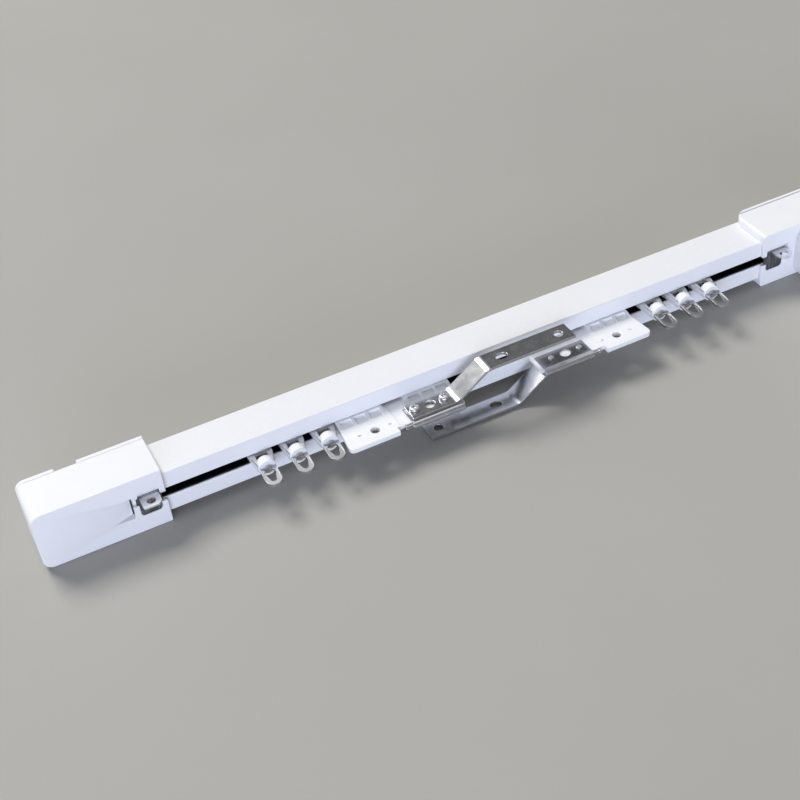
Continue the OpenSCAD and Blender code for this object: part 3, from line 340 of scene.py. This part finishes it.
grey_moulding, shader, place = new_finish("grey_moulding", {})
skin = mottle(place, 0.0005, detail=3.0)
dark_grey, worn_grey = (0.045, 0.046, 0.050), (0.070, 0.071, 0.076)
tint = blend(mottle(place, 0.006), dark_grey, worn_grey)
dress(shader, tint, 0.42 + 0.18 * skin, skin, depth=0.00005)
for node in ("left_belt_clamp", "right_belt_clamp"):
    coat(node, grey_moulding)
for node in ("left_outer_wheels", "left_inner_wheels", "right_outer_wheels", "right_inner_wheels"):
    coat(node, acetal)

# Arm sleeves and rods: each carrier's plate has a steel sleeve folded round its front edge. A cropped wire rod
# with an upset head lies in the fold and locks it.
sleeve_steel, shader, place, tint, lines, rough = plated_steel("folded_sleeve_steel", (60.0, 1.0, 1.0), 0.0007)
front_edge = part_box("left_arm_sleeve")[0].y
fold = rise(along(place, "Y"), front_edge + 0.0050, front_edge + 0.0040)
leaf_shade_grey, leaf_shade_line = (0.40, 0.40, 0.41), (0.47, 0.47, 0.48)
# Painted shade: the flat leaf behind the fold is painted a darker grey than the plated steel, as shade; the fold
# keeps the plated tint.
tint = blend(fold, blend(lines, leaf_shade_grey, leaf_shade_line), tint)
dress(shader, tint, rough - 0.04 + 0.2 * fold, lines, depth=0.000010)
rod_steel, shader, _, tint, lines, rough = plated_steel("cropped_rod_steel", (50.0, 1.0, 1.0), 0.0004)
dress(shader, tint, rough, lines, depth=0.000006)
for side in ("left", "right"):
    eased(side + "_arm_sleeve", 0.00022, sleeve_steel)
    eased(side + "_sleeve_rod", 0.00020, rod_steel)

# Arms: 2 mm strip, pierced, cropped and bent to a flat Z, one from above and one from below, so that the two
# carriers overlap when they meet. The sheared edges are duller than the rolled faces, with a bright corner.
arm_steel, shader, place, tint, lines, rough = plated_steel("bent_arm_steel", (70.0, 1.0, 1.0), 0.0007)
low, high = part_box("left_arm")
half_strip = (high.y - low.y) / 2
sheared = rise(abs(along(place, "Y") - (low.y + high.y) / 2), half_strip - 0.0003, half_strip - 0.00005)
sheared_grey = (0.50, 0.50, 0.50)
tint = blend(sheared * 0.7, tint, sheared_grey)
dress(shader, tint, rough + 0.14 * sheared, lines, depth=0.000012)
for side in ("left", "right"):
    eased(side + "_arm", 0.00035, arm_steel)

# Arm screws: zinc-plated pan heads with a cross recess, through arm, sleeve and plate. Their rolled threads
# show where the ends stand out of the sleeve's far leaf.


def quads(rows, columns):
    """Faces of a grid of points that is kept row by row: each joins two neighbours in one row to the two that
    stand beside them in the next row."""
    first = (np.arange(rows - 1)[:, None] * columns + np.arange(columns - 1)).ravel()
    return np.stack([first, first + 1, first + columns + 1, first + columns], -1)


def thread(name, middle, end, out, body):
    """Rolled thread round a screw's end: a ridge carried along a helix. The first parameter is the angle along
    the helix, the second goes over the ridge from root to crest to root, and both ends fade into the shank.
    The margin at the end, the climb in a turn and the ridge's foot are shares of the pitch."""
    pitch, turns, root, crest = 0.0005, 2, 0.00188, 0.00203
    margin, climb, foot = 0.05, 0.75, 0.35
    steps, over = 48 * turns + 1, 5
    angle, across = np.meshgrid(np.linspace(0, 2 * math.pi * turns, steps), np.linspace(-1, 1, over))
    fade = np.clip(np.minimum(angle, 2 * math.pi * turns - angle), 0, 1)
    radius = root + (crest - root) * (1 - abs(across)) * fade
    height = end - out * pitch * (margin + angle / (2 * math.pi) * climb + foot * (across + 1) / 2)
    points = np.stack([middle[0] + radius * np.cos(angle), middle[1] + radius * np.sin(angle), height], -1)
    faces = quads(*angle.shape)
    if out > 0:
        faces = faces[:, ::-1]
    mesh = bpy.data.meshes.new(name)
    mesh.from_pydata(points.reshape(-1, 3), [], faces)
    mesh.shade_smooth()
    mesh.materials.append(zinc_plate)
    piece = bpy.data.objects.new(name, mesh)
    bpy.context.scene.collection.objects.link(piece)
    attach(piece, body)


for side, out in (("left", -1), ("right", 1)):
    eased(side + "_arm_screws", 0.00015, zinc_plate)
    low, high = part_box(side + "_arm_screws")
    head = (high.y - low.y) / 2
    for number, x in enumerate((low.x + head, high.x - head), 1):
        thread(f"{side}_screw_thread_{number}", (x, (low.y + high.y) / 2), high.z if out > 0 else low.z, out,
               side + "_carrier")

# Gliders: a moulded nylon block on a wheel axle in the slot, with two webs and a domed socket out of it. In the
# socket turns a stamped steel eye with a pressed rim, for the curtain's hook.
eye_steel, shader, _, _, lines, rough = plated_steel("stamped_eye_steel", (1.0, 1.0, 1.0), 0.0009)
stamped_grey, line_grey = (0.50, 0.505, 0.515), (0.42, 0.425, 0.435)
tint = blend(lines, stamped_grey, line_grey)
dress(shader, tint, rough + 0.13, lines, depth=0.000010)
for number in range(1, 7):
    eased(f"glider_{number}_body", 0.0003, milky_nylon)
    eased(f"glider_{number}_eye", 0.0002, eye_steel)
    coat(f"glider_{number}_wheels", acetal)

# Motor: two moulded half shells with a seam along them, on a collar under the drive housing, and an end cap
# with two screws. The power socket and the setting button in the cap are grey mouldings.
for node, width in (("motor_collar", 0.0003), ("motor_upper_shell", 0.0004), ("motor_lower_shell", 0.0004),
                    ("motor_end_cap", 0.0006)):
    eased(node, width, moulded_white)
for node in ("power_inlet", "setting_button"):
    eased(node, 0.0003, grey_moulding)
coat("motor_cap_screws", zinc_plate)

# Inside the motor: a die-cast gearbox on the collar's side, a drawn steel can behind it, and a green circuit
# board on two posts of the lower shell.
die_cast, shader, place = new_finish("die_cast", {"Metallic": 1.0})
grain = mottle(place, 0.0012, detail=4.0)
cast_dark, cast_pale = (0.42, 0.42, 0.43), (0.56, 0.56, 0.57)
tint = blend(grain, cast_dark, cast_pale)
dress(shader, tint, 0.42 + 0.2 * grain, grain, depth=0.00008)
coat("motor_gearbox", die_cast)
coat("motor_can", zinc_plate)
solder_mask, shader, place = new_finish("solder_mask", {"Coat Weight": 0.3, "Coat Roughness": 0.2})
weave = mottle(place, 0.0006, (3.0, 1.0, 1.0))
tracks = rise(mottle(place, 0.0025, (1.0, 6.0, 1.0), 0.0), 0.52, 0.56)
mask_green, track_green = (0.012, 0.075, 0.032), (0.025, 0.135, 0.055)
tint = blend(tracks, mask_green, track_green)
dress(shader, tint, 0.34 + 0.1 * weave, 0.7 * tracks + 0.3 * weave, depth=0.00004)
coat("control_board", solder_mask)

# Floor and light: a pale grey studio floor that runs far back, a soft key light high behind the idler end, so
# that the shadow falls forward, and a cool fill low in front of the idler end. The world is an even grey with a
# dark side that the steel's flats mirror, and two bright ones for its bends and its upper edges.
floor_height, rings, spokes = -0.0002, (0.0, 0.5, 1.5, 5.0, 40.0), 64
radius, angle = np.meshgrid(np.array(rings), np.linspace(0, 2 * math.pi, spokes + 1))
points = np.stack([radius * np.cos(angle), radius * np.sin(angle), 0 * radius + floor_height], -1)
mesh = bpy.data.meshes.new("floor")
mesh.from_pydata(points.reshape(-1, 3), [], quads(*radius.shape))
floor_paint, shader, place = new_finish("floor_paint", {"Specular IOR Level": 0.25})
cast = mottle(place, 0.25, detail=4.0)
floor_grey, floor_pale = (0.385, 0.376, 0.347), (0.43, 0.420, 0.390)
tint = blend(cast, floor_grey, floor_pale)
dress(shader, tint, 0.55 + 0.15 * cast, mottle(place, 0.002), depth=0.00005)
mesh.materials.append(floor_paint)
floor = bpy.data.objects.new("floor", mesh)
bpy.context.scene.collection.objects.link(floor)


def lamp(name, watts, width, height, spot, aim, colour, spread):
    """Rectangular soft light of this width and height at spot, facing aim, with a grid that keeps its rays within
    half of spread, in degrees, of that way."""
    light = bpy.data.lights.new(name, "AREA")
    light.shape = "RECTANGLE"
    light.size, light.size_y, light.energy, light.color = width, height, watts, colour
    light.spread = math.radians(spread)
    piece = bpy.data.objects.new(name, light)
    way = Vector(aim) - Vector(spot)
    piece.matrix_world = Matrix.LocRotScale(Vector(spot), way.to_track_quat("-Z", "Y"), None)
    bpy.context.scene.collection.objects.link(piece)


lamp("key_light", watts=455.0, width=3.1, height=3.1, spot=(-1.64, 4.28, 6.05), aim=(0.05, 0.1, 0.0),
     colour=(1.0, 0.99, 0.97), spread=180)
lamp("front_fill", watts=38.0, width=4.0, height=1.5, spot=(-2.16, -3.69, 0.82), aim=(0.03, 0.1, 0.05),
     colour=(0.74, 0.80, 1.0), spread=80)

world = bpy.data.worlds.new("studio")
bpy.context.scene.world = world
world.use_nodes = True
sky = Wire(world.node_tree.nodes.new("ShaderNodeTexCoord").outputs["Generated"])
tint = (0.20, 0.204, 0.215)
# Each patch is the way to its middle, the cosines from there between which it fades in, and its colour.
dark_side = ((0.389, 0.673, 0.629), 0.82, 0.97, (0.13, 0.132, 0.138))
bend_light = ((-0.133, 0.754, 0.643), 0.915, 0.98, (0.9, 0.9, 0.92))
edge_light = ((0.367, 0.200, 0.909), 0.91, 0.975, (1.0, 1.0, 1.02))
for way, start, end, patch in (dark_side, bend_light, edge_light):
    toward = sky.node("VectorMath", {"operation": "DOT_PRODUCT"}, {0: sky, 1: way}, "Value")
    tint = blend(rise(toward, start, end), tint, patch)
world.node_tree.links.new(tint.socket, world.node_tree.nodes["Background"].inputs["Color"])
